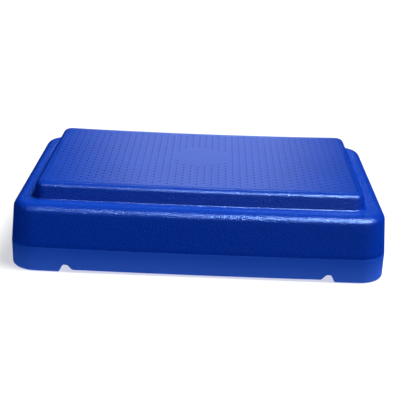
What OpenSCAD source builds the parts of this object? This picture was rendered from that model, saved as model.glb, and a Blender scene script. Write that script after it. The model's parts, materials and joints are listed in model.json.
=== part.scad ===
// Low mounting block: a dimpled grip panel let into the raised deck of a
// stepped upper shell, closed below by a base shell that stands on four
// rubber pads. Screws join the shells round their edge, and columns carry
// the deck. A hollow under the base takes the deck of another block, so
// blocks stack on the ledge round the deck.
//
// Millimetres. +Z is up, X runs along the block, -Y is the front. The origin
// is on the floor under the block's centre.

/* [Overall] */
// Length over the lower band
body_l = 660; // [580:5:760]
// Width over the lower band
body_w = 406; // [350:2:480]
// Height from the floor to the top of the grip panel
body_h = 152; // [146:1:170]
// Plan radius of the outer corners
corner_r = 46; // [42:1:60]
// Wall thickness of both shells
wall_t = 4.5; // [3.5:0.5:5.5]

/* [Shoulder] */
// Height of the ledge round the deck
ledge_z = 122.5; // [112:0.5:130]
// Lean of the upper wall from upright, in degrees
wall_lean = 5.3; // [2:0.1:6]
// Radius between the upper wall and the ledge
shoulder_r = 16; // [10:1:20]

/* [Deck] */
// Distance from the front or back face to the foot of the deck
deck_inset = 35; // [33:1:44]
// Distance from the end face to the foot of the deck
deck_end_inset = 40; // [36:1:48]
// Plan radius of the deck's corners where its edge rounding meets the rim
deck_top_r = 8; // [4:0.5:12]
// Lean of the deck's wall from upright, in degrees
deck_lean = 12; // [8:1:24]
// Radius of the deck's top edge
deck_edge_r = 7; // [6:0.5:12]
// Radius of the hollow fillet at the deck's foot
deck_foot_r = 4; // [2:0.5:6]

/* [Grip panel] */
// Rim left bare between the deck's rounded edge and the panel
rim_w = 1.5; // [1:0.5:8]
// Plan radius of the panel's corners
panel_r = 6; // [3:1:14]
// Thickness of the panel
panel_t = 3.5; // [3:0.5:4.5]
// Height of the panel above the rim
panel_proud = 1.5; // [0.5:0.25:2]
// Wall left under the panel's pocket
panel_floor_t = 4.5; // [3:0.5:6]

/* [Deck ribs] */
// Thickness of the ribs under the deck
rib_t = 3.5; // [2.5:0.5:5]
// Depth of the ribs below the ledge
rib_drop = 24; // [12:1:40]
// Distance between the ribs that run across the block
rib_pitch_x = 92; // [70:1:110]
// Distance between the ribs that run along the block
rib_pitch_y = 84; // [60:1:96]

/* [Seam between the shells] */
// Height of the seam
seam_z = 59.5; // [52:0.5:66]
// Inset of the upper wall from the lower band at the seam
seam_step = 0.8; // [0:0.1:1.5]
// Width of the shadow groove at the seam
seam_groove = 1; // [0.4:0.1:2]
// Height of the lip that stands up inside the upper wall
lip_h = 8; // [5:0.5:12]
// Thickness of the lip
lip_t = 2.8; // [2:0.1:3.5]
// Clearance between pieces that fit together
fit_gap = 0.3; // [0.2:0.05:0.5]

/* [Feet and notches] */
// Length of each corner foot, from the end of the block
foot_l = 89; // [80:1:110]
// Height of the bottom edge between the feet, above the feet
foot_rise = 4.2; // [2:0.1:6]
// Height of the notch roof above the feet
notch_h = 13.5; // [10:0.5:18]
// Width of the notch roof
notch_roof_w = 8; // [6:0.5:14]
// Lean of the notch's face on the foot's side, in degrees
notch_steep = 27; // [10:1:35]
// Lean of the notch's other face, in degrees
notch_slope = 42; // [30:1:50]

/* [Stacking hollow] */
// Clearance all round the deck of the block underneath
stack_gap = 2; // [1.5:0.5:3]
// Thickness of the base's bottom flange between the feet
flange_t = 4.5; // [3.5:0.5:6]

/* [Screws and posts] */
// Diameter of the screw's shank
screw_d = 6; // [4:0.5:6]
// Length of the screw under its head
screw_l = 26; // [18:1:34]
// Diameter of the screw's head
head_d = 11; // [8:0.5:11]
// Height of the screw's head
head_h = 4; // [3:0.5:6]
// Width across the hex recess in the head
hex_w = 4; // [3:0.5:4.5]
// Wall of the posts and bosses round their holes
post_wall = 2.2; // [1.5:0.1:3]
// Thickness of the seat under the screw's head
seat_t = 5; // [3:0.5:7]
// Distance from the outer face to the screws round the edge
screw_inset = 18; // [17:0.5:19]
// Distance from the centre to the outer screws of the long sides
edge_screw_x = 180; // [150:2:190]

/* [Deck columns] */
// Diameter of the columns that carry the deck
column_d = 12; // [9:0.5:15]
// Depth of the socket that each column stands in
socket_h = 14; // [8:1:18]

/* [Rubber pads] */
// Width of the pad
pad_w = 9; // [7:0.5:10]
// Distance from the outer face to the pad
pad_inset = 22; // [21:0.5:23]
// Length of the pad's arms, from the end of the block
pad_arm = 72; // [60:1:76]
// Height of the pad below the feet
pad_proud = 1.5; // [1:0.25:3]
// Depth of the groove that the pad sits in
pad_groove = 3; // [2:0.25:3.5]
// Diameter of the pad's push-in stem
stem_d = 5; // [4:0.5:6]
// Diameter of the stem's barb
barb_d = 7.5; // [6.5:0.5:8]

/* [Hidden] */
$fn = 96;

shell_blue = [0.06, 0.16, 0.62];
band_blue = [0.08, 0.18, 0.58];
panel_blue = [0.20, 0.29, 0.74];
rubber_black = [0.05, 0.05, 0.06];
screw_zinc = [0.70, 0.71, 0.73];

// Small overlap that joins the solids of one piece
weld = 1;
// Reach of the cutters past the faces that they open
past = 5;

// Heights that the pieces share
foot_z = pad_proud;
edge_z = foot_z + foot_rise;
corridor_z = edge_z + flange_t;
rim_z = body_h - panel_proud;
pocket_z = body_h - panel_t;
deck_h = rim_z - ledge_z;
cavity_top_z = pocket_z - panel_floor_t;
rib_z = ledge_z - rib_drop;

// Plan size of the upper wall at the seam
upper_l = body_l - 2 * seam_step;
upper_w = body_w - 2 * seam_step;
upper_r = corner_r - seam_step;

// Plan size of the deck at its foot
deck_l = body_l - 2 * deck_end_inset;
deck_w = body_w - 2 * deck_inset;
deck_top_inset = edge_inset(deck_h, deck_edge_r, deck_lean);
deck_r = deck_top_inset + deck_top_r;

// Plan size of the grip panel's pocket
panel_inset = deck_top_inset + rim_w;
pocket_l = deck_l - 2 * panel_inset;
pocket_w = deck_w - 2 * panel_inset;

// Stacking hollow: its roof clears the deck of the block underneath
hollow_roof_z = body_h - ledge_z + stack_gap;
tray_floor_z = hollow_roof_z + wall_t;

// Notches: where the foot ends, and where the roof and the slope begin and
// end from there
foot_end_x = body_l / 2 - foot_l;
notch_near = lean(notch_h, notch_steep);
notch_far = notch_near + notch_roof_w + lean(notch_h - foot_rise, notch_slope);

// Screws: the posts of the base meet the bosses of the upper shell here
post_top_z = seam_z + 1.5;
seat_z = post_top_z - seat_t;
well_d = head_d + 1;
post_d = well_d + 2 * post_wall;
bore_d = screw_d + 2 * fit_gap;
boss_d = bore_d + 4 * post_wall;
bore_end_z = seat_z + screw_l + 2;
screws = [
    for (x = [-edge_screw_x, 0, edge_screw_x], s = [-1, 1])
        [x, s * (body_w / 2 - screw_inset)],
    for (s = [-1, 1])
        [s * (body_l / 2 - screw_inset), 0]
];

// Columns: each stands under a crossing of the deck's ribs, in a socket on
// the hollow's roof
columns = [
    for (i = [-2, 0, 2], s = [-1, 1])
        [i * rib_pitch_x, s * rib_pitch_y]
];
socket_floor_z = post_top_z - socket_h;
socket_d = column_d + 2 * fit_gap;

// Rubber pads
pad_top_z = foot_z + pad_groove;
pad_r = corner_r - pad_inset;
stem_far = pad_arm - pad_inset - pad_w;

// Horizontal place of a straight wall that leans in by a degrees, z above
// its foot
function lean(z, a) = z * tan(a);

// A length to the nearest hundredth, so that the faces that bodies share
// meet exactly
function snap(x) = round(x * 100) / 100;

// Inset from the foot of a leaning wall, h high, to the centre of the
// rounding of radius r at its top
function edge_inset(h, r, a) = snap(lean(h - r, a) + r / cos(a));

// Where a straight wall from the origin touches a circle of radius r round c
function touch_point(c, r) =
    let (turn = atan2(c[1], c[0]) + asin(r / norm(c)))
    sqrt(c[0] * c[0] + c[1] * c[1] - r * r) * [cos(turn), sin(turn)];

// ---------------------------------------------------------------- helpers

// Plan outline with true round corners
module outline(l, w, r) {
    square([l - 2 * r, w], center = true);
    square([l, w - 2 * r], center = true);
    for (x = [-1, 1], y = [-1, 1])
        translate([x * (l / 2 - r), y * (w / 2 - r)]) circle(r);
}

// Upright block on that outline, from z0 to z1
module slab(l, w, r, z0, z1) {
    translate([0, 0, z0]) linear_extrude(z1 - z0) outline(l, w, r);
}

// Sweeps a profile round the outline. In the profile, x is the distance
// inward from the outline and y is the height.
module sweep_round(l, w, r) {
    for (m = [0, 1]) mirror([0, m, 0]) {
        translate([-(l / 2 - r), -w / 2, 0])
            rotate([90, 0, 90])
            linear_extrude(l - 2 * r) children();
        for (n = [0, 1]) mirror([n, 0, 0])
            translate([-(l / 2 - r), -(w / 2 - r), 0])
            rotate([0, 0, 180])
            rotate_extrude(angle = 90)
            translate([r, 0]) mirror([1, 0]) children();
    }
    for (n = [0, 1]) mirror([n, 0, 0])
        translate([-l / 2, w / 2 - r, 0])
        rotate([90, 0, 0])
        linear_extrude(w - 2 * r) children();
}

// Solid with rounded top edges of radius edge_r. Its walls lean in by a
// degrees from the outline at height 0, and foot lists the points of the
// wall's lower end. A child is added to the profile of its side.
module round_body(l, w, r, foot, z1, edge_r, a) {
    flat_x = edge_inset(z1, edge_r, a);
    core_x = flat_x + weld / 2;
    z0 = foot[0][1];
    sweep_round(l, w, r) {
        polygon(concat(foot, [
            touch_point([flat_x, z1 - edge_r], edge_r),
            [flat_x, z1],
            [flat_x + weld, z1],
            [flat_x + weld, z0]
        ]));
        translate([flat_x, z1 - edge_r])
            intersection() {
                circle(edge_r);
                translate([-edge_r, 0]) square(edge_r);
            }
        children();
    }
    slab(l - 2 * core_x, w - 2 * core_x, r - core_x, z0, z1);
}

// ------------------------------------------------------------ shell forms

// Upper wall and shoulder from z0 up, grown outward by g on every face
module shoulder_body(z0, g) {
    e = snap(g / cos(wall_lean));
    foot = [[lean(z0 - seam_z, wall_lean), z0 - seam_z]];
    translate([0, 0, seam_z])
        round_body(
            upper_l + 2 * e, upper_w + 2 * e, upper_r + e,
            foot, ledge_z + g - seam_z, shoulder_r + g, wall_lean
        );
}

// Deck, h high above its foot at height z, grown outward by g on every
// face, and carried straight down by sink below its foot
module deck_body(z, sink, h, g) {
    e = snap(g / cos(deck_lean));
    translate([0, 0, z])
        round_body(
            deck_l + 2 * e, deck_w + 2 * e, deck_r + e,
            [[0, -sink], [0, 0]], h + g, deck_edge_r + g, deck_lean
        ) children();
}

// Profile of the hollow fillet where the deck's wall meets the ledge
module deck_foot_fillet() {
    r = deck_foot_r;
    start_x = snap(lean(r, deck_lean) - r / cos(deck_lean));
    touch = -start_x * [sin(deck_lean), cos(deck_lean)];
    difference() {
        polygon([
            [start_x, -weld],
            [start_x, 0],
            touch,
            [touch[0] + weld, touch[1]],
            [touch[0] + weld, -weld]
        ]);
        translate([start_x, r]) circle(r);
    }
}

// --------------------------------------------------------------- the parts

// Textured panel let into the deck
module grip_panel() {
    color(panel_blue)
        slab(
            pocket_l - 2 * fit_gap, pocket_w - 2 * fit_gap,
            panel_r - fit_gap, pocket_z, body_h
        );
}

// Grid of ribs under the deck
module deck_ribs() {
    tall = pocket_z - rib_z;
    long_n = floor((upper_w / 2 - rib_pitch_y / 2) / rib_pitch_y);
    cross_n = floor((upper_l / 2 - rib_pitch_x / 2) / rib_pitch_x);
    for (i = [-long_n : long_n])
        translate([0, i * rib_pitch_y, rib_z + tall / 2])
            cube([upper_l, rib_t, tall], center = true);
    for (i = [-cross_n : cross_n])
        translate([i * rib_pitch_x, 0, rib_z + tall / 2])
            cube([rib_t, upper_w, tall], center = true);
}

// Bosses that hang from the upper shell and take the screws
module screw_bosses() {
    for (p = screws)
        translate([p[0], p[1], post_top_z + fit_gap])
            cylinder(h = ledge_z - post_top_z, d = boss_d);
}

// Columns that carry the deck down to the hollow's roof
module deck_columns() {
    foot = socket_floor_z + fit_gap;
    for (p = columns)
        translate([p[0], p[1], foot])
            cylinder(h = cavity_top_z + weld - foot, d = column_d);
}

// Room inside the upper shell
module upper_cavity() {
    shoulder_body(seam_z - past, -wall_t);
    deck_body(
        ledge_z, wall_t + weld, cavity_top_z - ledge_z + wall_t, -wall_t
    );
}

// Deck, ledge and upper wall in one moulding
module upper_shell() {
    color(shell_blue)
        difference() {
            union() {
                shoulder_body(seam_z + seam_groove / 2, 0);
                deck_body(ledge_z, weld, deck_h, 0) deck_foot_fillet();
                deck_columns();
            }
            difference() {
                upper_cavity();
                deck_ribs();
                screw_bosses();
                deck_columns();
            }
            slab(
                pocket_l, pocket_w, panel_r,
                pocket_z, body_h + past
            );
            for (p = screws)
                translate([p[0], p[1], post_top_z - past])
                    cylinder(h = bore_end_z - post_top_z + past, d = bore_d);
        }
}

// Outline of a notch. The origin is the inner end of the foot, at the
// foot's height, and x runs towards the middle of the block.
module notch_shape() {
    polygon([
        [-lean(past, notch_steep), -past],
        [notch_near, notch_h],
        [notch_near + notch_roof_w, notch_h],
        [notch_far + lean(past, notch_slope), foot_rise - past]
    ]);
}

// What the notches open in the front and back of the base
module notches() {
    for (m = [0, 1], n = [0, 1])
        mirror([n, 0, 0]) mirror([0, m, 0])
            translate([-foot_end_x, 0, foot_z])
            rotate([90, 0, 0])
            linear_extrude(body_w / 2 + past)
            notch_shape();
}

// Clearance under the bottom edge between the feet. Along the front and
// back it starts under the notches.
module raised_edges() {
    tall = past + foot_rise;
    start_x = foot_end_x - notch_near - notch_roof_w / 2;
    translate([-start_x, -(body_w / 2 + past), foot_z - past])
        cube([2 * start_x, body_w + 2 * past, tall]);
    translate([-(body_l / 2 + past), -(body_w / 2 - foot_l), foot_z - past])
        cube([body_l + 2 * past, body_w - 2 * foot_l, tall]);
}

// Walls that carry each notch through the base as a closed channel
module notch_channels() {
    roof_z = foot_z + notch_h + wall_t;
    for (m = [0, 1], n = [0, 1])
        mirror([n, 0, 0]) mirror([0, m, 0])
            translate([
                -foot_end_x - wall_t,
                -body_w / 2 + wall_t / 2,
                corridor_z - weld
            ])
            cube([
                notch_far + 2 * wall_t,
                deck_inset,
                roof_z - corridor_z + weld
            ]);
}

// Posts of the base, with the wells that the screws go up
module screw_posts() {
    for (p = screws)
        translate([p[0], p[1], edge_z + weld])
            cylinder(h = post_top_z - edge_z - weld, d = post_d);
}

// Sockets on the hollow's roof that the deck's columns stand in
module column_sockets() {
    difference() {
        for (p = columns)
            translate([p[0], p[1], tray_floor_z - weld])
                cylinder(
                    h = post_top_z - tray_floor_z + weld,
                    d = socket_d + 2 * post_wall
                );
        for (p = columns)
            translate([p[0], p[1], socket_floor_z])
                cylinder(h = socket_h + past, d = socket_d);
    }
}

// Cross ribs that tie the edge posts to the band and to the hollow's wall
module post_ribs() {
    tall = tray_floor_z - corridor_z;
    for (x = [-edge_screw_x, 0, edge_screw_x])
        translate([x, 0, corridor_z + tall / 2])
            cube([rib_t, body_w - 2 * weld, tall], center = true);
    translate([0, 0, corridor_z + tall / 2])
        cube([body_l - 2 * weld, rib_t, tall], center = true);
}

// Lip that stands up inside the upper wall
module seam_lip() {
    gap = wall_t / cos(wall_lean) + fit_gap;
    foot_z1 = seam_z - lip_h - lip_t;
    sweep_round(upper_l, upper_w, upper_r)
        polygon([
            [wall_t - seam_step - weld, foot_z1 - lip_t],
            [wall_t - seam_step, foot_z1 - lip_t],
            [gap + lip_t, foot_z1],
            [gap + lip_t + lean(lip_h, wall_lean), seam_z + lip_h],
            [gap + lean(lip_h, wall_lean), seam_z + lip_h],
            [gap, seam_z - seam_groove / 2],
            [wall_t - seam_step - weld, seam_z - seam_groove / 2]
        ]);
}

// Room above the base's flange and round its hollow
module base_cavity() {
    difference() {
        slab(
            body_l - 2 * wall_t, body_w - 2 * wall_t, corner_r - wall_t,
            corridor_z, seam_z + past
        );
        deck_body(0, past, body_h - ledge_z, stack_gap + wall_t);
        notch_channels();
        screw_posts();
        column_sockets();
        post_ribs();
        seam_lip();
    }
}

// Lower band, bottom flange and stacking hollow in one moulding
module base_shell() {
    color(band_blue)
        difference() {
            union() {
                slab(
                    body_l, body_w, corner_r,
                    foot_z, seam_z - seam_groove / 2
                );
                seam_lip();
                screw_posts();
                column_sockets();
            }
            base_cavity();
            deck_body(0, past, body_h - ledge_z, stack_gap);
            notches();
            raised_edges();
            for (p = screws) {
                translate([p[0], p[1], foot_z - past])
                    cylinder(h = seat_z - foot_z + past, d = well_d);
                translate([p[0], p[1], seat_z - past])
                    cylinder(h = seat_t + 2 * past, d = bore_d);
            }
            for (n = [0, 1], m = [0, 1])
                mirror([n, 0, 0]) mirror([0, m, 0]) pad_room();
        }
}

// One screw, seated head down on the base's seat
module shell_screw() {
    difference() {
        union() {
            translate([0, 0, -head_h]) cylinder(h = head_h, d = head_d);
            cylinder(h = screw_l, d = screw_d);
        }
        translate([0, 0, -head_h - weld])
            cylinder(h = head_h / 2 + weld, d = hex_w / cos(30), $fn = 6);
    }
}

// Screws that hold the two shells together
module shell_screws() {
    color(screw_zinc)
        for (p = screws)
            translate([p[0], p[1], seat_z]) shell_screw();
}

// Bent strip that follows the front left corner, grown by g on its sides
module pad_strip(z0, z1, g) {
    arm_x = pad_arm - corner_r;
    translate([-body_l / 2, -body_w / 2, z0]) {
        translate([corner_r, pad_inset - g, 0])
            cube([arm_x + g, pad_w + 2 * g, z1 - z0]);
        translate([pad_inset - g, corner_r, 0])
            cube([pad_w + 2 * g, arm_x + g, z1 - z0]);
        translate([corner_r, corner_r, 0])
            rotate([0, 0, 180])
            rotate_extrude(angle = 90)
            translate([pad_r - pad_w - g, 0])
            square([pad_w + 2 * g, z1 - z0]);
    }
}

// Places of the two stems of the front left pad
function stem_places() = [
    [
        -body_l / 2 + pad_inset + pad_w + stem_far - pad_w / 2,
        -body_w / 2 + pad_inset + pad_w / 2
    ],
    [
        -body_l / 2 + pad_inset + pad_w / 2,
        -body_w / 2 + pad_inset + pad_w + stem_far - pad_w / 2
    ]
];

// Groove and stem holes for the front left pad
module pad_room() {
    pad_strip(foot_z - past, pad_top_z, fit_gap);
    for (p = stem_places())
        translate([p[0], p[1], foot_z])
            cylinder(h = corridor_z - foot_z + past, d = stem_d + 2 * fit_gap);
}

// Front left pad: the strip and its two barbed stems
module foot_pad() {
    barb_z = corridor_z + fit_gap;
    color(rubber_black) {
        pad_strip(0, pad_top_z, 0);
        for (p = stem_places())
            translate([p[0], p[1], pad_top_z - weld]) {
                cylinder(h = barb_z - pad_top_z + 2 * weld, d = stem_d);
                translate([0, 0, barb_z - pad_top_z + weld])
                    cylinder(h = barb_d / 2, d1 = barb_d, d2 = stem_d - 1);
            }
    }
}

module foot_pad_front_left() {
    foot_pad();
}

module foot_pad_front_right() {
    mirror([1, 0, 0]) foot_pad();
}

module foot_pad_back_left() {
    mirror([0, 1, 0]) foot_pad();
}

module foot_pad_back_right() {
    mirror([1, 0, 0]) mirror([0, 1, 0]) foot_pad();
}

grip_panel();
upper_shell();
base_shell();
shell_screws();
foot_pad_front_left();
foot_pad_front_right();
foot_pad_back_left();
foot_pad_back_right();
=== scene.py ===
"""Looks of the low mounting block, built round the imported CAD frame.

Metres. +Z is up, X runs along the block and -Y is its front. Each shell is a
closed skin made of rings. A ring follows an outline of the block, moved in by
an inset, either at one height or over the rise of the bottom edge. The grip
panel is a lattice of cells with a dimple in each.
"""

import json
import math

import bpy
from mathutils import Matrix, Vector


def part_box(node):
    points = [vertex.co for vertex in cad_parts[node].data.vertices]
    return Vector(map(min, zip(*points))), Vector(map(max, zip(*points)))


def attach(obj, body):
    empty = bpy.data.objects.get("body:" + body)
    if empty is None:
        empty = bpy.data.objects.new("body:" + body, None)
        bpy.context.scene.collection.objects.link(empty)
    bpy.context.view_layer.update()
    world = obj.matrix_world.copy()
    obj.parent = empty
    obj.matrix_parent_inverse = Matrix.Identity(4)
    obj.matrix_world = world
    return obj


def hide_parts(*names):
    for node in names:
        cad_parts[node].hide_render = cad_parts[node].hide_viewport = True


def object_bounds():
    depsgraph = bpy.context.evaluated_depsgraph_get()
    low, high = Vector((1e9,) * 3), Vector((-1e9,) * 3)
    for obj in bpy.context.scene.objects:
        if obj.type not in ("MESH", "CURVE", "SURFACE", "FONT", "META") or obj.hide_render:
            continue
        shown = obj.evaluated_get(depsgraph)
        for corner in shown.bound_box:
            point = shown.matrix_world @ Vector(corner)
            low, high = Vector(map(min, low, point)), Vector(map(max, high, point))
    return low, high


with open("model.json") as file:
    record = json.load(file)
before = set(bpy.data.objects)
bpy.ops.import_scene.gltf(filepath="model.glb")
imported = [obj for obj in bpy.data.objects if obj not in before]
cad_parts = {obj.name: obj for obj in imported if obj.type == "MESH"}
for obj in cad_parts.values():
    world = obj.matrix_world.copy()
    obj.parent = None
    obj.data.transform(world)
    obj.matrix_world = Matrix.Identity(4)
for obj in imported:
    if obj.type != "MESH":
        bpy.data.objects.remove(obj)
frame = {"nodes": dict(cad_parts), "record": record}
cad_low, cad_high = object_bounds()

MM = 0.001

# ------------------------------------------------------------------ sizes
# Driving sizes, from the frame where it has them
HALF_L = cad_high.x
HALF_W = cad_high.y
TOP_Z = cad_high.z
CORNER_R = 46 * MM
WALL_T = 4.5 * MM
LEDGE_SINK = 0.7 * MM
LEDGE_Z = next(
    mount["pos_m"][2] - LEDGE_SINK
    for mount in frame["record"]["mounts"]
    if mount["name"] == "stacking_ledge"
)

# Seam between the shells, with a finer gap and step than the CAD's. Its height
# is taken from the upper shell's lowest point. That is its columns' feet and
# not its wall's, so this seam lies 12.7 mm below the CAD's.
SEAM_DROP = 0.5 * MM
SEAM_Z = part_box("upper_shell")[0].z - SEAM_DROP
SEAM_GAP = 0.15 * MM
SEAM_STEP = 0.2 * MM
SEAM_EDGE_R = 0.3 * MM
SEAM_EASE = SEAM_EDGE_R * 0.3
UPPER_FOOT_Z = SEAM_Z + SEAM_GAP / 2
BAND_TOP_Z = SEAM_Z - SEAM_GAP / 2

# Outer wall of the upper shell
WALL_LEAN = math.radians(5.3)
SHOULDER_R = 16 * MM
SHOULDER_Z = LEDGE_Z - SHOULDER_R

# Deck, whose rim stands a little higher than in the CAD
RIM_RISE = 1.2 * MM
RIM_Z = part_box("upper_shell")[1].z + RIM_RISE
DECK_INSET = 34.4 * MM
DECK_END_INSET = 39.5 * MM
DECK_TOP_R = 8 * MM
DECK_LEAN = math.radians(11)
DECK_EDGE_R = 10 * MM
DECK_FOOT_R = 4.5 * MM
POCKET_R = 6 * MM
POCKET_GAP = 0.3 * MM
POCKET_EASE = 0.4 * MM

# Grip panel, trimmed at the long sides and half as much at the short ones
PANEL_TRIM = 1.4 * MM
PANEL_HALF_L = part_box("grip_panel")[1].x - PANEL_TRIM / 2
PANEL_HALF_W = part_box("grip_panel")[1].y - PANEL_TRIM
PANEL_FOOT_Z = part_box("grip_panel")[0].z
PANEL_R = 5.7 * MM
PANEL_EDGE_R = 1.1 * MM
DIMPLE_COLUMNS = 42
DIMPLE_ROWS = 20
DIMPLE_R = 1.45 * MM
DIMPLE_DEPTH = 1 * MM
BARE_DISC_R = 52 * MM
BARE_DISC_Y = 12 * MM

# Base shell: feet, their ramps in the end faces, flange, band, and the lip
# that stands inside the upper shell
FOOT_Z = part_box("base_shell")[0].z
FOOT_L = 89 * MM
FOOT_RISE = 4.2 * MM
FOOT_RAMP = 4 * MM
RISE_FADE = 45 * MM
FLANGE_T = 4.5 * MM
FLANGE_TOP_Z = FOOT_Z + FOOT_RISE + FLANGE_T
BOTTOM_EDGE_R = 2 * MM
BAND_LEVELS = (0.15, 0.35, 0.55, 0.75, 0.9, 1)
LIP_SHORTFALL = 0.5 * MM
LIP_TOP_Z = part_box("base_shell")[1].z - LIP_SHORTFALL
LIP_INSET = 5.7 * MM
LIP_T = 2.6 * MM
LIP_DEPTH = 10.8 * MM
LIP_FOOT_Z = SEAM_Z - LIP_DEPTH

# Stacking hollow, with room for the deck of the block below
HOLLOW_INSET = 33 * MM
HOLLOW_END_INSET = 38 * MM
HOLLOW_LEAN = math.radians(12)
HOLLOW_EDGE_R = 9 * MM
HOLLOW_CORNER_R = 21.6 * MM
HOLLOW_ROOM = 2 * MM
HOLLOW_ROOF_Z = TOP_Z - LEDGE_Z - LEDGE_SINK + HOLLOW_ROOM
HOLLOW_LEVELS = (0.35, 0.7)
MOUTH_EASE = 0.8 * MM

# Notches at the inner ends of the feet
NOTCH_H = 13.5 * MM
NOTCH_ROOF_W = 8 * MM
NOTCH_STEEP = math.radians(27)
NOTCH_SLOPE = math.radians(42)
NOTCH_EASE = 2.6 * MM
NOTCH_LEAD = 8 * MM
NOTCH_TAIL = 6 * MM

# Screw posts of the base, and the grooves of its pads
SCREW_INSET = 18 * MM
SIDE_SCREW_X = 180 * MM
WELL_R = 6 * MM
POST_R = 8.2 * MM
BORE_R = 3.3 * MM
SCREW_HEAD_H = 4 * MM
SEAT_T = 5 * MM
SEAT_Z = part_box("shell_screws")[0].z + SCREW_HEAD_H
POST_TOP_Z = SEAT_Z + SEAT_T
POST_FOOT_Z = FOOT_Z + 8 * MM
PAD_INSET = 21.7 * MM
PAD_W = 9.6 * MM
PAD_END = 72.3 * MM
PAD_TOP_Z = FOOT_Z + 3 * MM
STEM_R = 2.8 * MM
STEM_NEAR = 26.5 * MM
STEM_FAR = 67.5 * MM
STEM_OVERLAP = 1 * MM
STEM_TOP_Z = FOOT_Z + 18 * MM
CUT_PAST = 3 * MM

# How the mouldings have sagged between their ends; the deck's back edge most
SAG = 2.3 * MM
SAG_BACK = 4.6 * MM

# Stations round an outline: each side's first lies past every rounded corner
FIRST_STOP = 62 * MM
SECOND_STOP = 10 * MM
LONG_STEPS = 17
END_STEPS = 10
CORNER_STEPS = 12
LATHE_STEPS = 40

QUARTER = math.pi / 2


def lean(height, angle):
    """Inset of a leaning wall at a height above its foot."""
    return height * math.tan(angle)


def edge_inset(height, radius, angle):
    """Inset from a leaning wall's foot to the centre of its top rounding."""
    return lean(height - radius, angle) + radius / math.cos(angle)


def clamp(value):
    """Value held between 0 and 1."""
    return min(max(value, 0), 1)


# ------------------------------------------------------------- stations
def soften(corners, reach, steps):
    """Path through corners, each rounded off over reach on both sides."""
    path = [corners[0]]
    for before, corner, after in zip(corners, corners[1:], corners[2:]):
        start = corner + (before - corner).normalized() * reach
        end = corner + (after - corner).normalized() * reach
        for i in range(steps + 1):
            t = i / steps
            path.append(
                start * (1 - t) ** 2 + corner * 2 * t * (1 - t) + end * t ** 2
            )
    return path + [corners[-1]]


def notch_path():
    """Bottom edge at a notch: distance in from the foot's end, and height."""
    near = lean(NOTCH_H, NOTCH_STEEP)
    roof_end = near + NOTCH_ROOF_W
    far = roof_end + lean(NOTCH_H - FOOT_RISE, NOTCH_SLOPE)
    corners = [
        Vector((-NOTCH_LEAD, 0)),
        Vector((0, 0)),
        Vector((near, NOTCH_H)),
        Vector((roof_end, NOTCH_H)),
        Vector((far, FOOT_RISE)),
        Vector((far + NOTCH_TAIL, FOOT_RISE)),
    ]
    return soften(corners, NOTCH_EASE, steps=6)


NOTCH_PATH = notch_path()


def mirrored(stops):
    """Stops of one half, outermost first, with their mirror images."""
    return [-s for s in stops] + [s for s in reversed(stops) if s > 0]


def even_stops(start, steps):
    """Stops in even steps from start to the side's middle."""
    return [start * (1 - i / steps) for i in range(1, steps + 1)]


def long_stops():
    """Places of the stations along the front and back."""
    outer = HALF_L - FIRST_STOP
    notch = [HALF_L - FOOT_L - p.x for p in NOTCH_PATH]
    middle = even_stops(notch[-1], LONG_STEPS)
    return mirrored([outer, outer - SECOND_STOP] + notch + middle)


def end_stops():
    """Places of the stations along the end faces."""
    outer = HALF_W - FIRST_STOP
    foot_end = HALF_W - FOOT_L
    ramp = [foot_end + t * FOOT_RAMP for t in (1, 0.5, 0, -0.5, -1)]
    middle = even_stops(ramp[-1], END_STEPS)
    return mirrored([outer, (outer + ramp[0]) / 2] + ramp + middle)


LONG_STOPS = long_stops()
END_STOPS = end_stops()


def stations(half_l, half_w, r):
    """Place and outward direction of each station round an outline."""
    sides = (
        (Vector((0, -1)), half_w, LONG_STOPS),
        (Vector((1, 0)), half_l, END_STOPS),
        (Vector((0, 1)), half_w, LONG_STOPS),
        (Vector((-1, 0)), half_l, END_STOPS),
    )
    found = []
    for out, away, stops in sides:
        along = Vector((-out.y, out.x))
        for stop in stops:
            found.append((out * away + along * stop, out))
        centre = Vector((
            (out.x + along.x) * (half_l - r),
            (out.y + along.y) * (half_w - r),
        ))
        for i in range(CORNER_STEPS + 1):
            turn = QUARTER * i / CORNER_STEPS
            way = out * math.cos(turn) + along * math.sin(turn)
            found.append((centre + way * r, way))
    return found


# ------------------------------------------------- outlines and profiles
def plan_family(step):
    """Outline of the outer wall, moved in by step."""
    return (HALF_L - step, HALF_W - step, CORNER_R - step)


def deck_top_inset():
    """Inset from the deck's foot to the inner end of its edge rounding."""
    return edge_inset(RIM_Z - LEDGE_Z, DECK_EDGE_R, DECK_LEAN)


def deck_family():
    """Outline of the deck's foot."""
    return (
        HALF_L - DECK_END_INSET,
        HALF_W - DECK_INSET,
        deck_top_inset() + DECK_TOP_R,
    )


def pocket_family():
    """Outline of the pocket that the grip panel lies in."""
    return (PANEL_HALF_L + POCKET_GAP, PANEL_HALF_W + POCKET_GAP, POCKET_R)


def hollow_family():
    """Outline of the stacking hollow's mouth."""
    return (
        HALF_L - HOLLOW_END_INSET, HALF_W - HOLLOW_INSET, HOLLOW_CORNER_R
    )


def arc(centre_inset, centre_z, r, start, steps):
    """Profile of a rounding, from angle start above outward to its top."""
    points = []
    for i in range(steps + 1):
        turn = start + (QUARTER - start) * i / steps
        points.append((
            centre_inset - r * math.cos(turn),
            centre_z + r * math.sin(turn),
        ))
    return points


def ring(family, inset, z):
    """One level ring of a skin: the outline moved in by inset."""
    points = []
    for place, out in stations(*family):
        flat = place - out * inset
        points.append(Vector((flat.x, flat.y, z)))
    return points


def level_rings(family, profile):
    """One level ring for each inset and height of a profile."""
    return [ring(family, inset, z) for inset, z in profile]


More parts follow.
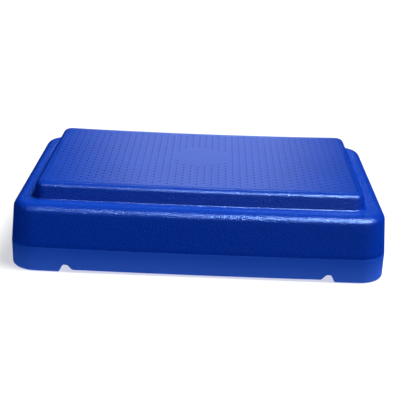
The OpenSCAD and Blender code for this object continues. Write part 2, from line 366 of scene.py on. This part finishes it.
def settle(p):
    """Where a point of the mouldings lies once they have sagged."""
    ends = clamp((p.x / HALF_L) ** 2)
    high = clamp((p.z - LEDGE_Z) / (RIM_Z - LEDGE_Z))
    toward_back = 0.5 + 0.5 * p.y / HALF_W
    sag = SAG + (SAG_BACK - SAG) * toward_back * high
    return Vector((p.x, p.y, p.z - sag * (1 - ends)))


def sagged(rings):
    """Rings with every point settled."""
    return [[settle(p) for p in one] for one in rings]


# --------------------------------------------------------------- meshes
def make_object(name, points, faces, sharp_deg=35):
    """Mesh object with smooth shading up to an angle."""
    mesh = bpy.data.meshes.new(name)
    mesh.from_pydata(points, [], faces)
    mesh.validate()
    mesh.shade_smooth()
    mesh.set_sharp_from_angle(angle=math.radians(sharp_deg))
    piece = bpy.data.objects.new(name, mesh)
    bpy.context.collection.objects.link(piece)
    return piece


def swept_faces(ring_count, size):
    """Quads between neighbouring rings, and a cap on the last and first."""
    faces = []
    for k in range(ring_count - 1):
        low = k * size
        for i in range(size):
            j = (i + 1) % size
            faces.append((low + i, low + j, low + size + j, low + size + i))
    top = (ring_count - 1) * size
    faces.append(tuple(range(top, top + size)))
    faces.append(tuple(reversed(range(size))))
    return faces


def make_skin(name, rings):
    """Closed object swept through rings."""
    points = [p for one in rings for p in one]
    return make_object(name, points, swept_faces(len(rings), len(rings[0])))


# ------------------------------------------------------------ materials
# Every gloss takes on some of the plastic's blue
GLOSS_TINT = (0.28, 0.5, 1.0)

# Tones between which each material varies, partly at random; the stippled and smooth blues
# mostly by painted light, the dimples by painted shade
# Stippled blue: its wall tone, and a lighter tone painted on faces that look up as painted
# top light
STIPPLED_WALL_AND_LIT_TOP_TONES = ((0.0006, 0.027, 0.335), (0.0032, 0.042, 0.37))
# Smooth blue: a lighter tone at the foot as painted light from the floor, and its own tone
# above the seam
FLOOR_LIT_AND_PLAIN_GLOSSY_TONES = ((0.030, 0.108, 0.61), (0.006, 0.050, 0.42))
GRIP_TONES = ((0.0013, 0.031, 0.29), (0.0022, 0.038, 0.34))
# Dimple tone: the grip tone darkened as painted shade in the hollows
DIMPLE_SHADE_TONE = (0.0008, 0.015, 0.16)
RUBBER_TONES = ((0.010, 0.010, 0.011), (0.022, 0.021, 0.021))
ZINC_TONES = ((0.52, 0.53, 0.56), (0.70, 0.70, 0.71))
FLOOR_TONE = (0.4, 0.4, 0.4)


def principled(name, color, roughness, specular):
    """Material with its shader's constants set, its tree and its shader."""
    mat = bpy.data.materials.new(name)
    mat.use_nodes = True
    tree = mat.node_tree
    shader = tree.nodes["Principled BSDF"]
    shader.inputs["Base Color"].default_value = (*color, 1)
    shader.inputs["Roughness"].default_value = roughness
    shader.inputs["Specular IOR Level"].default_value = specular
    shader.inputs["Specular Tint"].default_value = (*GLOSS_TINT, 1)
    return mat, tree, shader


def noise(tree, scale, detail):
    """Noise over the object's own coordinates."""
    place = tree.nodes.new("ShaderNodeTexCoord")
    node = tree.nodes.new("ShaderNodeTexNoise")
    node.inputs["Scale"].default_value = scale
    node.inputs["Detail"].default_value = detail
    tree.links.new(place.outputs["Object"], node.inputs["Vector"])
    return node.outputs["Fac"]


def remap(tree, value, start, end, low=0, high=1):
    """Carries start..end over to low..high, and stops at both ends."""
    node = tree.nodes.new("ShaderNodeMapRange")
    node.inputs["From Min"].default_value = start
    node.inputs["From Max"].default_value = end
    node.inputs["To Min"].default_value = low
    node.inputs["To Max"].default_value = high
    tree.links.new(value, node.inputs["Value"])
    return node.outputs["Result"]


def spread(tree, value, low=0, high=1):
    """Carries the middle range of a noise over to low..high."""
    return remap(tree, value, 0.3, 0.7, low, high)


def upright_part(tree, vector):
    """Z part of a vector."""
    node = tree.nodes.new("ShaderNodeSeparateXYZ")
    tree.links.new(vector, node.inputs["Vector"])
    return node.outputs["Z"]


def drifting(tree, value, reach, scale):
    """Value with up to reach of slow noise added."""
    node = tree.nodes.new("ShaderNodeMath")
    node.operation = "MULTIPLY_ADD"
    node.inputs[1].default_value = reach
    tree.links.new(noise(tree, scale, detail=3), node.inputs[0])
    tree.links.new(value, node.inputs[2])
    return node.outputs["Value"]


def tint(tree, shader, value, tones):
    """Base colour that goes from the first tone to the second with value."""
    node = tree.nodes.new("ShaderNodeMix")
    node.data_type = "RGBA"
    node.inputs["A"].default_value = (*tones[0], 1)
    node.inputs["B"].default_value = (*tones[1], 1)
    tree.links.new(value, node.inputs["Factor"])
    tree.links.new(node.outputs["Result"], shader.inputs["Base Color"])


def bump(tree, shader, value, strength, depth):
    """Fine relief on the surface."""
    node = tree.nodes.new("ShaderNodeBump")
    node.inputs["Strength"].default_value = strength
    node.inputs["Distance"].default_value = depth
    tree.links.new(value, node.inputs["Height"])
    tree.links.new(node.outputs["Normal"], shader.inputs["Normal"])


def painted_top_light(tree):
    """1 on faces that look up, 0 on walls, with a little drift: the mask of the painted
    top light.
    """
    face = tree.nodes.new("ShaderNodeNewGeometry")
    steepness = upright_part(tree, face.outputs["Normal"])
    level = remap(tree, steepness, start=0.8, end=1)
    return drifting(tree, level, reach=0.2, scale=9)


def painted_floor_light_falloff(tree):
    """0 at the base's foot, 1 above the seam, with a little drift: the mask of the painted
    floor light, strongest at the foot.
    """
    place = tree.nodes.new("ShaderNodeTexCoord")
    height = upright_part(tree, place.outputs["Object"])
    uneven = drifting(tree, height, reach=6 * MM, scale=7)
    return remap(tree, uneven, start=FOOT_Z + 2 * MM, end=SEAM_Z + 6 * MM)


def stippled_plastic():
    """Moulded plastic with the spark-eroded grain of a rough tool, painted lighter on its
    tops.
    """
    mat, tree, shader = principled(
        "stippled_blue", STIPPLED_WALL_AND_LIT_TOP_TONES[0], roughness=0.33, specular=0.5
    )
    # Faces that look up get the lighter tone: painted top light, not a tone of the plastic
    tint(tree, shader, painted_top_light(tree), STIPPLED_WALL_AND_LIT_TOP_TONES)
    grain = noise(tree, scale=450, detail=0)
    uneven_gloss = spread(tree, grain, low=0.27, high=0.33)
    tree.links.new(uneven_gloss, shader.inputs["Roughness"])
    bump(tree, shader, grain, strength=1, depth=0.58 * MM)
    return mat


def glossy_plastic():
    """Moulded plastic from a polished tool, painted lighter towards its foot."""
    mat, tree, shader = principled(
        "smooth_blue", FLOOR_LIT_AND_PLAIN_GLOSSY_TONES[0], roughness=0.3, specular=0.4
    )
    # The band is painted lighter towards its foot: painted light from the floor
    tint(tree, shader, painted_floor_light_falloff(tree), FLOOR_LIT_AND_PLAIN_GLOSSY_TONES)
    waves = noise(tree, scale=90, detail=2)
    bump(tree, shader, waves, strength=0.12, depth=0.3 * MM)
    return mat


def fine_grain(tree, shader):
    """Relief of the grip panel's plastic."""
    grain = noise(tree, scale=800, detail=2)
    bump(tree, shader, grain, strength=0.35, depth=0.2 * MM)


def grip_plastic():
    """Softer plastic of the standing surface."""
    mat, tree, shader = principled(
        "grip_blue", GRIP_TONES[0], roughness=0.38, specular=0.11
    )
    patches = spread(tree, noise(tree, scale=8, detail=3))
    tint(tree, shader, patches, GRIP_TONES)
    fine_grain(tree, shader)
    return mat


def dimple_shade_plastic():
    """The same plastic inside a dimple, made darker as painted shade."""
    mat, tree, shader = principled(
        "dimple_shade_blue", DIMPLE_SHADE_TONE, roughness=0.6, specular=0.08
    )
    fine_grain(tree, shader)
    return mat


def pad_rubber():
    """Matt black rubber."""
    mat, tree, shader = principled(
        "pad_rubber", RUBBER_TONES[0], roughness=0.75, specular=0.3
    )
    dust = spread(tree, noise(tree, scale=60, detail=3))
    tint(tree, shader, dust, RUBBER_TONES)
    pores = noise(tree, scale=500, detail=3)
    bump(tree, shader, pores, strength=0.4, depth=0.2 * MM)
    return mat


def screw_zinc():
    """Bright zinc plate with a fine, uneven surface."""
    mat, tree, shader = principled(
        "screw_zinc", ZINC_TONES[0], roughness=0.34, specular=0.5
    )
    shader.inputs["Metallic"].default_value = 1
    spangle = spread(tree, noise(tree, scale=300, detail=3))
    tint(tree, shader, spangle, ZINC_TONES)
    marks = noise(tree, scale=900, detail=2)
    bump(tree, shader, marks, strength=0.3, depth=0.1 * MM)
    return mat


def floor_white():
    """Matt white studio floor that lights itself, and is clear from below."""
    mat, tree, shader = principled(
        "floor_white", FLOOR_TONE, roughness=0.9, specular=0.1
    )
    shader.inputs["Emission Color"].default_value = (1, 1, 1, 1)
    shader.inputs["Emission Strength"].default_value = 0.6
    unevenness = noise(tree, scale=40, detail=2)
    bump(tree, shader, unevenness, strength=0.05, depth=0.3 * MM)
    side = tree.nodes.new("ShaderNodeNewGeometry")
    clear = tree.nodes.new("ShaderNodeBsdfTransparent")
    either = tree.nodes.new("ShaderNodeMixShader")
    out = tree.nodes["Material Output"]
    tree.links.new(side.outputs["Backfacing"], either.inputs["Fac"])
    tree.links.new(shader.outputs["BSDF"], either.inputs[1])
    tree.links.new(clear.outputs["BSDF"], either.inputs[2])
    tree.links.new(either.outputs["Shader"], out.inputs["Surface"])
    return mat


# --------------------------------------------------------- upper shell
def shoulder_arc(r, steps):
    """Profile of the shoulder, or of its inner side with a smaller radius."""
    inset = edge_inset(LEDGE_Z - SEAM_Z, SHOULDER_R, WALL_LEAN)
    return arc(inset, SHOULDER_Z, r, WALL_LEAN, steps)


def ceiling_profile():
    """Inner side of the deck and of its wall."""
    return [
        (deck_top_inset(), PANEL_FOOT_Z - WALL_T),
        (WALL_T, LEDGE_Z - WALL_T),
    ]


def inner_wall_profile():
    """Inner side of the shoulder and of the outer wall, down to the seam."""
    bend = shoulder_arc(SHOULDER_R - WALL_T, steps=4)
    return bend[::-1] + [(WALL_T, UPPER_FOOT_Z)]


def outer_wall_profile():
    """Eased foot at the seam, leaning wall, and shoulder up to the ledge."""
    low = UPPER_FOOT_Z + SEAM_EDGE_R
    foot = [
        (SEAM_EDGE_R, UPPER_FOOT_Z),
        (SEAM_EASE, UPPER_FOOT_Z + SEAM_EASE),
        (lean(SEAM_EDGE_R, WALL_LEAN), low),
    ]
    shoulder = shoulder_arc(SHOULDER_R, steps=14)
    height = shoulder[0][1] - low
    steps = 7
    wall = []
    for i in range(1, steps):
        z = low + height * i / steps
        wall.append((lean(z - SEAM_Z, WALL_LEAN), z))
    return foot + wall + shoulder


def deck_profile():
    """Hollow fillet at the deck's foot, its wall and its rounded edge."""
    centre = lean(DECK_FOOT_R, DECK_LEAN) - DECK_FOOT_R / math.cos(DECK_LEAN)
    steps = 8
    fillet = []
    for i in range(steps + 1):
        turn = (QUARTER - DECK_LEAN) * i / steps
        fillet.append((
            centre + DECK_FOOT_R * math.sin(turn),
            LEDGE_Z + DECK_FOOT_R * (1 - math.cos(turn)),
        ))
    edge_z = RIM_Z - DECK_EDGE_R
    return fillet + arc(
        deck_top_inset(), edge_z, DECK_EDGE_R, DECK_LEAN, steps=12
    )


def pocket_profile():
    """Eased rim of the pocket, its wall and its floor's edge."""
    return [
        (-POCKET_EASE, RIM_Z),
        (0, RIM_Z - POCKET_EASE),
        (0, PANEL_FOOT_Z),
    ]


def upper_rings():
    """Rings of the upper shell, from its inner ceiling out and up."""
    plan = plan_family(SEAM_STEP)
    deck = deck_family()
    return (
        level_rings(deck, ceiling_profile())
        + level_rings(plan, inner_wall_profile())
        + level_rings(plan, outer_wall_profile())
        + level_rings(deck, deck_profile())
        + level_rings(pocket_family(), pocket_profile())
    )


def make_upper_shell():
    """Deck, ledge and drafted wall in one moulding."""
    piece = make_skin("upper_shell_skin", sagged(upper_rings()))
    piece.data.materials.append(stippled_plastic())
    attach(piece, "root")
    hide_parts("upper_shell")


# ----------------------------------------------------------- base shell
def notch_height(inward):
    """Height of the bottom edge at a distance in from the foot's end."""
    if inward >= NOTCH_PATH[-1].x:
        return FOOT_RISE
    for a, b in zip(NOTCH_PATH, NOTCH_PATH[1:]):
        if a.x <= inward <= b.x:
            return a.y + (b.y - a.y) * (inward - a.x) / (b.x - a.x)
    return 0


def edge_rise(place, out):
    """Height of the base's bottom edge above the feet, at a station."""
    straight = 0.999
    if abs(out.y) > straight:
        return notch_height(HALF_L - FOOT_L - abs(place.x))
    if abs(out.x) > straight:
        past_foot = HALF_W - FOOT_L + FOOT_RAMP - abs(place.y)
        t = clamp(past_foot / (2 * FOOT_RAMP))
        return FOOT_RISE * t * t * (3 - 2 * t)
    return 0


def base_ring(family, height, inset):
    """Ring whose height follows the rise, and whose inset the height."""
    points = []
    for place, out in stations(*family):
        z = height(edge_rise(place, out))
        flat = place - out * inset(z)
        points.append(Vector((flat.x, flat.y, z)))
    return points


def flange_top(rise):
    """Height of the flange's upper side, which follows most of the rise."""
    share = 1 - (FLANGE_TOP_Z - FOOT_Z) / RISE_FADE
    return FLANGE_TOP_Z + rise * share


def hollow_wall(gap):
    """Inset of the hollow's wall, or of a face that lies gap outside it."""
    return lambda z: lean(z, HOLLOW_LEAN) - gap / math.cos(HOLLOW_LEAN)


def hollow_arc(r, steps):
    """Profile of the hollow's top edge, or of its outer side."""
    inset = edge_inset(HOLLOW_ROOF_Z, HOLLOW_EDGE_R, HOLLOW_LEAN)
    return arc(inset, HOLLOW_ROOF_Z - HOLLOW_EDGE_R, r, HOLLOW_LEAN, steps)


def tray_rings():
    """Upper side of the hollow's roof and wall, down to the flange."""
    family = hollow_family()
    edge = hollow_arc(HOLLOW_EDGE_R + WALL_T, steps=5)
    foot = base_ring(family, flange_top, hollow_wall(WALL_T))
    return level_rings(family, edge[::-1]) + [foot]


def lip_rings():
    """Top of the flange, the lip inside the seam, and the seam's lower face."""
    plan = plan_family(0)
    flange = base_ring(plan, flange_top, lambda z: WALL_T)
    lip_out = LIP_INSET + lean(LIP_TOP_Z - SEAM_Z, WALL_LEAN)
    profile = [
        (WALL_T, LIP_FOOT_Z - LIP_T),
        (LIP_INSET + LIP_T, LIP_FOOT_Z),
        (lip_out + LIP_T, LIP_TOP_Z),
        (lip_out, LIP_TOP_Z),
        (LIP_INSET, BAND_TOP_Z),
        (SEAM_EDGE_R, BAND_TOP_Z),
        (SEAM_EASE, BAND_TOP_Z - SEAM_EASE),
        (0, BAND_TOP_Z - SEAM_EDGE_R),
    ]
    return [flange] + level_rings(plan, profile)


def band_rings():
    """Upright band below the seam."""
    rings = []
    for t in BAND_LEVELS:
        rings.append(base_ring(
            plan_family(0),
            lambda rise: (
                BAND_TOP_Z + (FOOT_Z + BOTTOM_EDGE_R + rise - BAND_TOP_Z) * t
            ),
            lambda z: 0,
        ))
    return rings


def bottom_edge_rings():
    """Rounded edge between the band and the flange's underside."""
    rings = []
    steps = 4
    for i in range(1, steps + 1):
        turn = QUARTER * i / steps
        rings.append(base_ring(
            plan_family(0),
            lambda rise: FOOT_Z + rise + BOTTOM_EDGE_R * (1 - math.sin(turn)),
            lambda z: BOTTOM_EDGE_R * (1 - math.cos(turn)),
        ))
    return rings


def hollow_rings():
    """Stacking hollow: its eased mouth, wall, top edge and roof."""
    family = hollow_family()
    wall = hollow_wall(0)
    edge = hollow_arc(HOLLOW_EDGE_R, steps=8)
    edge_z = edge[0][1]
    rings = [
        base_ring(family, lambda rise: FOOT_Z + rise, lambda z: wall(z) - MOUTH_EASE),
        base_ring(family, lambda rise: FOOT_Z + rise + MOUTH_EASE, wall),
    ]
    for t in HOLLOW_LEVELS:
        rings.append(base_ring(
            family,
            lambda rise: (
                FOOT_Z + rise + MOUTH_EASE
                + (edge_z - FOOT_Z - rise - MOUTH_EASE) * t
            ),
            wall,
        ))
    return rings + level_rings(family, edge)


def base_rings():
    """Rings of the base, from its tray over the lip and band to the hollow."""
    outside = lip_rings() + band_rings() + bottom_edge_rings()
    return tray_rings() + sagged(outside) + hollow_rings()


def turned(centre, profile):
    """Points and faces of a solid of revolution round an upright axis."""
    points = []
    for r, z in profile:
        for i in range(LATHE_STEPS):
            turn = 2 * math.pi * i / LATHE_STEPS
            points.append(Vector((
                centre[0] + r * math.cos(turn), centre[1] + r * math.sin(turn), z
            )))
    return points, swept_faces(len(profile), LATHE_STEPS)


def screw_places():
    """Centres of the screws round the edge."""
    y = HALF_W - SCREW_INSET
    x = HALF_L - SCREW_INSET
    places = [(k * SIDE_SCREW_X, s * y) for k in (-1, 0, 1) for s in (-1, 1)]
    return places + [(-x, 0), (x, 0)]


def screw_post(centre):
    """Post that a screw's head pulls against."""
    return turned(centre, [(POST_R, POST_FOOT_Z), (POST_R, POST_TOP_Z)])


def screw_well(centre):
    """Room for a screw's head and driver, and the bore above its seat."""
    return turned(centre, [
        (WELL_R, FOOT_Z - CUT_PAST),
        (WELL_R, SEAT_Z),
        (BORE_R, SEAT_Z),
        (BORE_R, POST_TOP_Z + CUT_PAST),
    ])


def pad_outline():
    """Pad's groove, as distances in from the block's end and long side."""
    outline = []
    steps = 8
    for inset, ways in ((PAD_INSET, 1), (PAD_INSET + PAD_W, -1)):
        r = CORNER_R - inset
        side = [(PAD_END, inset)]
        for i in range(steps + 1):
            turn = QUARTER * i / steps
            side.append((
                CORNER_R - r * math.sin(turn), CORNER_R - r * math.cos(turn)
            ))
        side.append((inset, PAD_END))
        outline += side[::ways]
    return outline


def pad_groove(side_x, side_y):
    """Room of one corner's rubber pad."""
    flat = [
        (side_x * (HALF_L - a), side_y * (HALF_W - b)) for a, b in pad_outline()
    ]
    if side_x * side_y > 0:
        flat.reverse()
    points = []
    for z in (FOOT_Z - CUT_PAST, PAD_TOP_Z):
        points += [Vector((x, y, z)) for x, y in flat]
    return points, swept_faces(2, len(flat))


def stem_bores(side_x, side_y):
    """Rooms of the two stems of one corner's pad."""
    bores = []
    for a, b in ((STEM_FAR, STEM_NEAR), (STEM_NEAR, STEM_FAR)):
        centre = (side_x * (HALF_L - a), side_y * (HALF_W - b))
        bores.append(turned(centre, [
            (STEM_R, PAD_TOP_Z - STEM_OVERLAP), (STEM_R, STEM_TOP_Z)
        ]))
    return bores


def base_cuts():
    """Every room that is cut out of the base from below."""
    cuts = [screw_well(centre) for centre in screw_places()]
    for side_x in (-1, 1):
        for side_y in (-1, 1):
            cuts.append(pad_groove(side_x, side_y))
            cuts += stem_bores(side_x, side_y)
    return cuts


def joined(solids):
    """Points and faces of several closed solids, as one mesh."""
    points = []
    faces = []
    for solid_points, solid_faces in solids:
        start = len(points)
        points += solid_points
        faces += [tuple(start + k for k in face) for face in solid_faces]
    return points, faces


def combine(piece, solids, operation):
    """Adds closed solids to a piece, or cuts them out, for good."""
    tool = make_object("tool", *joined(solids))
    change = piece.modifiers.new("change", "BOOLEAN")
    change.operation = operation
    change.solver = "EXACT"
    change.object = tool
    graph = bpy.context.evaluated_depsgraph_get()
    mesh = bpy.data.meshes.new_from_object(piece.evaluated_get(graph))
    piece.modifiers.clear()
    piece.data = mesh
    bpy.data.objects.remove(tool)


def make_base_shell():
    """Lower band with its feet, notches, stacking hollow, wells and grooves."""
    piece = make_skin("base_shell_skin", base_rings())
    combine(piece, [screw_post(centre) for centre in screw_places()], "UNION")
    combine(piece, base_cuts(), "DIFFERENCE")

    mesh = piece.data
    mesh.name = "base_shell_skin"
    mesh.shade_smooth()
    mesh.set_sharp_from_angle(angle=math.radians(30))
    mesh.materials.append(glossy_plastic())
    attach(piece, "root")
    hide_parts("base_shell")


# ----------------------------------------------------------- grip panel
# Size of the lattice; each column of cells has one half row to spare
HALF_ROWS = 2 * DIMPLE_ROWS + 1
HALF_COLUMNS = 2 * DIMPLE_COLUMNS

# Corners of a cell and of a half cell, in half columns and half rows
CELL = ((2, 1), (2, 2), (1, 2), (0, 2), (0, 1), (0, 0), (1, 0), (2, 0))
HALF_CELL = ((0, 0), (1, 0), (2, 0), (2, 1), (1, 1), (0, 1))

# Rings of a dimple, as shares of its radius and depth; a circle has two
# points to each corner of its cell
DIMPLE_RINGS = ((1.25, 0), (1.03, 0.05), (0.85, 0.35), (0.5, 0.85))
CIRCLE = 2 * len(CELL)


class Lattice:
    """The panel's mesh: staggered cells with dimples, and a rounded border."""

    def __init__(self):
        self.half_x = PANEL_HALF_L - PANEL_R
        self.half_y = PANEL_HALF_W - PANEL_R
        self.points = []
        self.faces = []
        self.dimple_faces = set()
        self.known = {}
        self.add_cells()
        self.add_border()

    def corner(self, i, j):
        """Index of the point i half columns along and j half rows back."""
        if (i, j) not in self.known:
            self.known[i, j] = len(self.points)
            step_x = 2 * self.half_x / HALF_COLUMNS
            step_y = 2 * self.half_y / HALF_ROWS
            self.points.append(Vector((
                -self.half_x + i * step_x, -self.half_y + j * step_y, TOP_Z
            )))
        return self.known[i, j]

    def circle(self, centre, r, z):
        """Adds a circle of points and gives the index of its first."""
        start = len(self.points)
        for k in range(CIRCLE):
            turn = 2 * math.pi * (k + 0.5) / CIRCLE
            self.points.append(Vector((
                centre.x + r * math.cos(turn), centre.y + r * math.sin(turn), z
            )))
        return start

    def add_dimple(self, edge, centre):
        """Flat frame between a cell's edge and its dimple, and the dimple."""
        rings = [
            self.circle(centre, DIMPLE_R * reach, TOP_Z - DIMPLE_DEPTH * depth)
            for reach, depth in DIMPLE_RINGS
        ]
        for k in range(len(edge)):
            self.faces.append((
                edge[k],
                edge[(k + 1) % len(edge)],
                rings[0] + (2 * k + 1) % CIRCLE,
                rings[0] + 2 * k,
                rings[0] + (2 * k - 1) % CIRCLE,
            ))
        for a, b in zip(rings, rings[1:]):
            for k in range(CIRCLE):
                m = (k + 1) % CIRCLE
                if a != rings[0]:
                    self.dimple_faces.add(len(self.faces))
                self.faces.append((a + k, a + m, b + m, b + k))
        self.dimple_faces.add(len(self.faces))
        self.faces.append(tuple(rings[-1] + k for k in range(CIRCLE)))

    def add_cell(self, i, j):
        """Cell with a dimple, or a flat one in the bare disc."""
        edge = [self.corner(i + a, j + b) for a, b in CELL]
        centre = (self.points[edge[0]] + self.points[edge[4]]) / 2
        if Vector((centre.x, centre.y - BARE_DISC_Y)).length < BARE_DISC_R:
            self.faces.append(tuple(edge))
        else:
            self.add_dimple(edge, centre)

    def add_cells(self):
        """Columns of cells, every second one set back by half a cell."""
        for column in range(DIMPLE_COLUMNS):
            i = 2 * column
            offset = column % 2
            for row in range(DIMPLE_ROWS):
                self.add_cell(i, 2 * row + offset)
            spare = 0 if offset else 2 * DIMPLE_ROWS
            self.faces.append(tuple(
                self.corner(i + a, spare + b) for a, b in HALF_CELL
            ))

    def rim(self):
        """Corners round the lattice, each with its way out of the panel."""
        along_x = range(HALF_COLUMNS + 1)
        along_y = range(HALF_ROWS + 1)
        sides = (
            (Vector((0, -1)), [self.corner(i, 0) for i in along_x]),
            (Vector((1, 0)), [self.corner(HALF_COLUMNS, j) for j in along_y]),
            (Vector((0, 1)), [self.corner(i, HALF_ROWS) for i in along_x][::-1]),
            (Vector((-1, 0)), [self.corner(0, j) for j in along_y][::-1]),
        )
        steps = 6
        rim = []
        for out, row in sides:
            rim += [(k, out) for k in row]
            along = Vector((-out.y, out.x))
            for i in range(1, steps):
                turn = QUARTER * i / steps
                way = out * math.cos(turn) + along * math.sin(turn)
                rim.append((row[-1], way))
        return rim

    def add_border(self):
        """The lattice's rim, carried out and down over the rounded edge."""
        rim = self.rim()
        inner = [k for k, out in rim]
        for reach, z in panel_edge():
            outer = []
            for base, out in rim:
                at = self.points[base]
                outer.append(len(self.points))
                self.points.append(Vector((
                    at.x + out.x * reach, at.y + out.y * reach, z
                )))
            for a in range(len(rim)):
                b = (a + 1) % len(rim)
                face = [inner[a], outer[a], outer[b]]
                if inner[a] != inner[b]:
                    face.append(inner[b])
                self.faces.append(tuple(face))
            inner = outer
        self.faces.append(tuple(reversed(inner)))


def panel_edge():
    """Reach past the lattice and height, from the panel's top to its foot."""
    steps = 4
    profile = []
    for i in range(steps + 1):
        turn = QUARTER * i / steps
        profile.append((
            PANEL_R - PANEL_EDGE_R * (1 - math.sin(turn)),
            TOP_Z - PANEL_EDGE_R * (1 - math.cos(turn)),
        ))
    return profile + [(PANEL_R, PANEL_FOOT_Z)]


def make_grip_panel():
    """Dimpled panel that lies in the deck's pocket."""
    lattice = Lattice()
    points = [settle(p) for p in lattice.points]
    piece = make_object("grip_panel_skin", points, lattice.faces, sharp_deg=50)
    piece.data.materials.append(grip_plastic())
    # The dimples' faces get the darker material: painted shade
    piece.data.materials.append(dimple_shade_plastic())
    for k in lattice.dimple_faces:
        piece.data.polygons[k].material_index = 1
    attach(piece, "root")
    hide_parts("grip_panel")


# ------------------------------------------------------ carried-over CAD
def dress_cad():
    """Materials of the CAD nodes that stay in view."""
    finishes = {"shell_screws": screw_zinc(), "foot_pad": pad_rubber()}
    for name, node in frame["nodes"].items():
        for start, finish in finishes.items():
            if name.startswith(start):
                for place in node.material_slots:
                    place.material = finish


# ---------------------------------------------------------------- studio
WHITE = (1, 1, 1)
SKY = (0.5, 0.62, 1)

# Front strips: place along the block and length in metres, power in watts
STRIPS = ((0, 3.4, 56), (0.9, 2.2, 70), (1.2, 1.6, 212))
STRIP_Y = -1.42
STRIP_Z = 1.77
STRIP_W = 1.1
STRIP_AIM_Z = 0.1


def area_light(name, place, target, size, power, color):
    """Rectangular soft light that faces its target."""
    data = bpy.data.lights.new(name, "AREA")
    data.shape = "RECTANGLE"
    data.size, data.size_y = size
    data.energy = power
    data.color = color
    light = bpy.data.objects.new(name, data)
    light.location = place
    aim = Vector(target) - Vector(place)
    light.rotation_euler = aim.to_track_quat("-Z", "Y").to_euler()
    bpy.context.collection.objects.link(light)
    return light


def make_floor():
    """Wide floor that only the camera sees."""
    half = 30
    corners = ((-half, -half), (half, -half), (half, half), (-half, half))
    points = [Vector((x, y, 0)) for x, y in corners]
    floor = make_object("studio_floor", points, [(0, 1, 2, 3)])
    floor.data.materials.append(floor_white())

    floor.visible_diffuse = False
    floor.visible_glossy = False
    floor.visible_shadow = False


def make_surround():
    """White background that lights nothing."""
    world = bpy.data.worlds.new("studio")
    world.use_nodes = True
    bpy.context.scene.world = world
    surround = world.node_tree.nodes["Background"]
    surround.inputs["Color"].default_value = (1, 1, 1, 1)
    surround.inputs["Strength"].default_value = 1
    world.cycles_visibility.diffuse = False
    world.cycles_visibility.glossy = False


def sky_light():
    """Broad light from above and a little from the right."""
    data = bpy.data.lights.new("sky_panel", "SUN")
    data.energy = 5.3
    data.angle = math.radians(30)
    sky = bpy.data.objects.new("sky_panel", data)
    source = Vector((0.45, 0, 0.89))
    sky.rotation_euler = source.to_track_quat("Z", "Y").to_euler()
    bpy.context.collection.objects.link(sky)
    return sky


def sweep_light():
    """Light that a white sweep under the block would throw back up."""
    return area_light(
        "sweep_light", (0, 0, -0.05), (0, 0, 1), (5, 5), 86, WHITE
    )


def front_strip(x, length, power):
    """Strip in front of the block, for the highlights along its edges."""
    return area_light(
        "front_strip", (x, STRIP_Y, STRIP_Z), (x, 0, STRIP_AIM_Z),
        (length, STRIP_W), power, WHITE,
    )


def back_card():
    """Card behind the block, for the sheen on its deck."""
    return area_light(
        "card", (0, 2.6, 1.25), (0, 0, 0.1), (1.0, 1.2), 20, SKY
    )


def make_lights():
    """Soft lights that give no gloss, and strips and a card that give only it."""
    for light in (sky_light(), sweep_light()):
        light.visible_glossy = False
        light.data.cycles.use_multiple_importance_sampling = False
    for light in [front_strip(*strip) for strip in STRIPS] + [back_card()]:
        light.visible_diffuse = False
        light.data.cycles.use_multiple_importance_sampling = False


def make_camera():
    """Long lens, a little above the block and turned a touch on its axis."""
    azimuth = math.radians(0.632)
    elevation = math.radians(22)
    roll = math.radians(1.978)
    distance = 1.7189
    target = Vector((0, 0, 64.17 * MM))
    back = Vector((
        math.sin(azimuth) * math.cos(elevation),
        -math.cos(azimuth) * math.cos(elevation),
        math.sin(elevation),
    ))
    level = Vector((math.cos(azimuth), math.sin(azimuth), 0))
    right = level * math.cos(roll) + back.cross(level) * math.sin(roll)
    turn = Matrix((right, back.cross(right), back)).transposed()
    data = bpy.data.cameras.new("camera")
    data.sensor_width = 36
    data.lens = 80.13
    data.shift_x = -0.0009
    camera = bpy.data.objects.new("camera", data)
    place = Matrix.Translation(target + back * distance)
    camera.matrix_world = place @ turn.to_4x4()
    bpy.context.collection.objects.link(camera)
    bpy.context.scene.camera = camera


make_camera()
make_floor()
make_surround()
make_lights()
make_upper_shell()
make_base_shell()
make_grip_panel()
dress_cad()

view = bpy.context.scene.view_settings
view.view_transform = "Standard"
view.look = "None"
